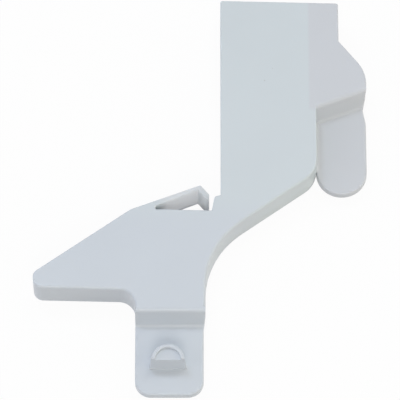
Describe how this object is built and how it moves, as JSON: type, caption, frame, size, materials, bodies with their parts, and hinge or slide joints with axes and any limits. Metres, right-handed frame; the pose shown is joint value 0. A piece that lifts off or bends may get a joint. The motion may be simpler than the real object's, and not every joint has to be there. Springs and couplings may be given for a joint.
{
  "type": "stair gate latch",
  "caption": "White moulded gate latch: flat guide panel with a finger tab, a pointed nose, a sprung snap arm beside a stop, and a bending tab with a half-round detent lug.",
  "frame": {"origin": "middle of the latch's outline, on the plane of its open back", "axes": "+X from the nose towards the finger tab, +Y up the guide panel's straight edge, +Z from the open back towards the front face"},
  "size_m": [0.1002, 0.1276, 0.01],
  "materials": {
    "white_plastic": "satin moulded plastic, bluish white"
  },
  "bodies": {
    "latch_body": {"guide_panel": "white_plastic", "panel_ribs": "white_plastic", "shoulder": "white_plastic", "finger_step": "white_plastic", "finger_tab": "white_plastic", "neck": "white_plastic", "neck_ribs": "white_plastic", "nose": "white_plastic", "nose_ribs": "white_plastic", "end_stop": "white_plastic", "arm_root": "white_plastic", "tab_step": "white_plastic"},
    "spring_arm": {"spring_arm": "white_plastic", "snap_hook": "white_plastic"},
    "detent_tab": {"detent_tab": "white_plastic", "detent_lug": "white_plastic"}
  },
  "joints": [
    {"name": "arm_flex", "type": "hinge", "parent": "latch_body", "child": "spring_arm", "pos_m": [-0.01355, -0.0047, 0.005], "axis": [0, 0, 1], "range_deg": [-10, 0], "stiffness_Nm_per_rad": 0.9},
    {"name": "tab_flex", "type": "hinge", "parent": "latch_body", "child": "detent_tab", "pos_m": [-0.00948, -0.042, 0.00125], "axis": [1, 0, 0], "range_deg": [0, 6], "stiffness_Nm_per_rad": 5.5}
  ]
}
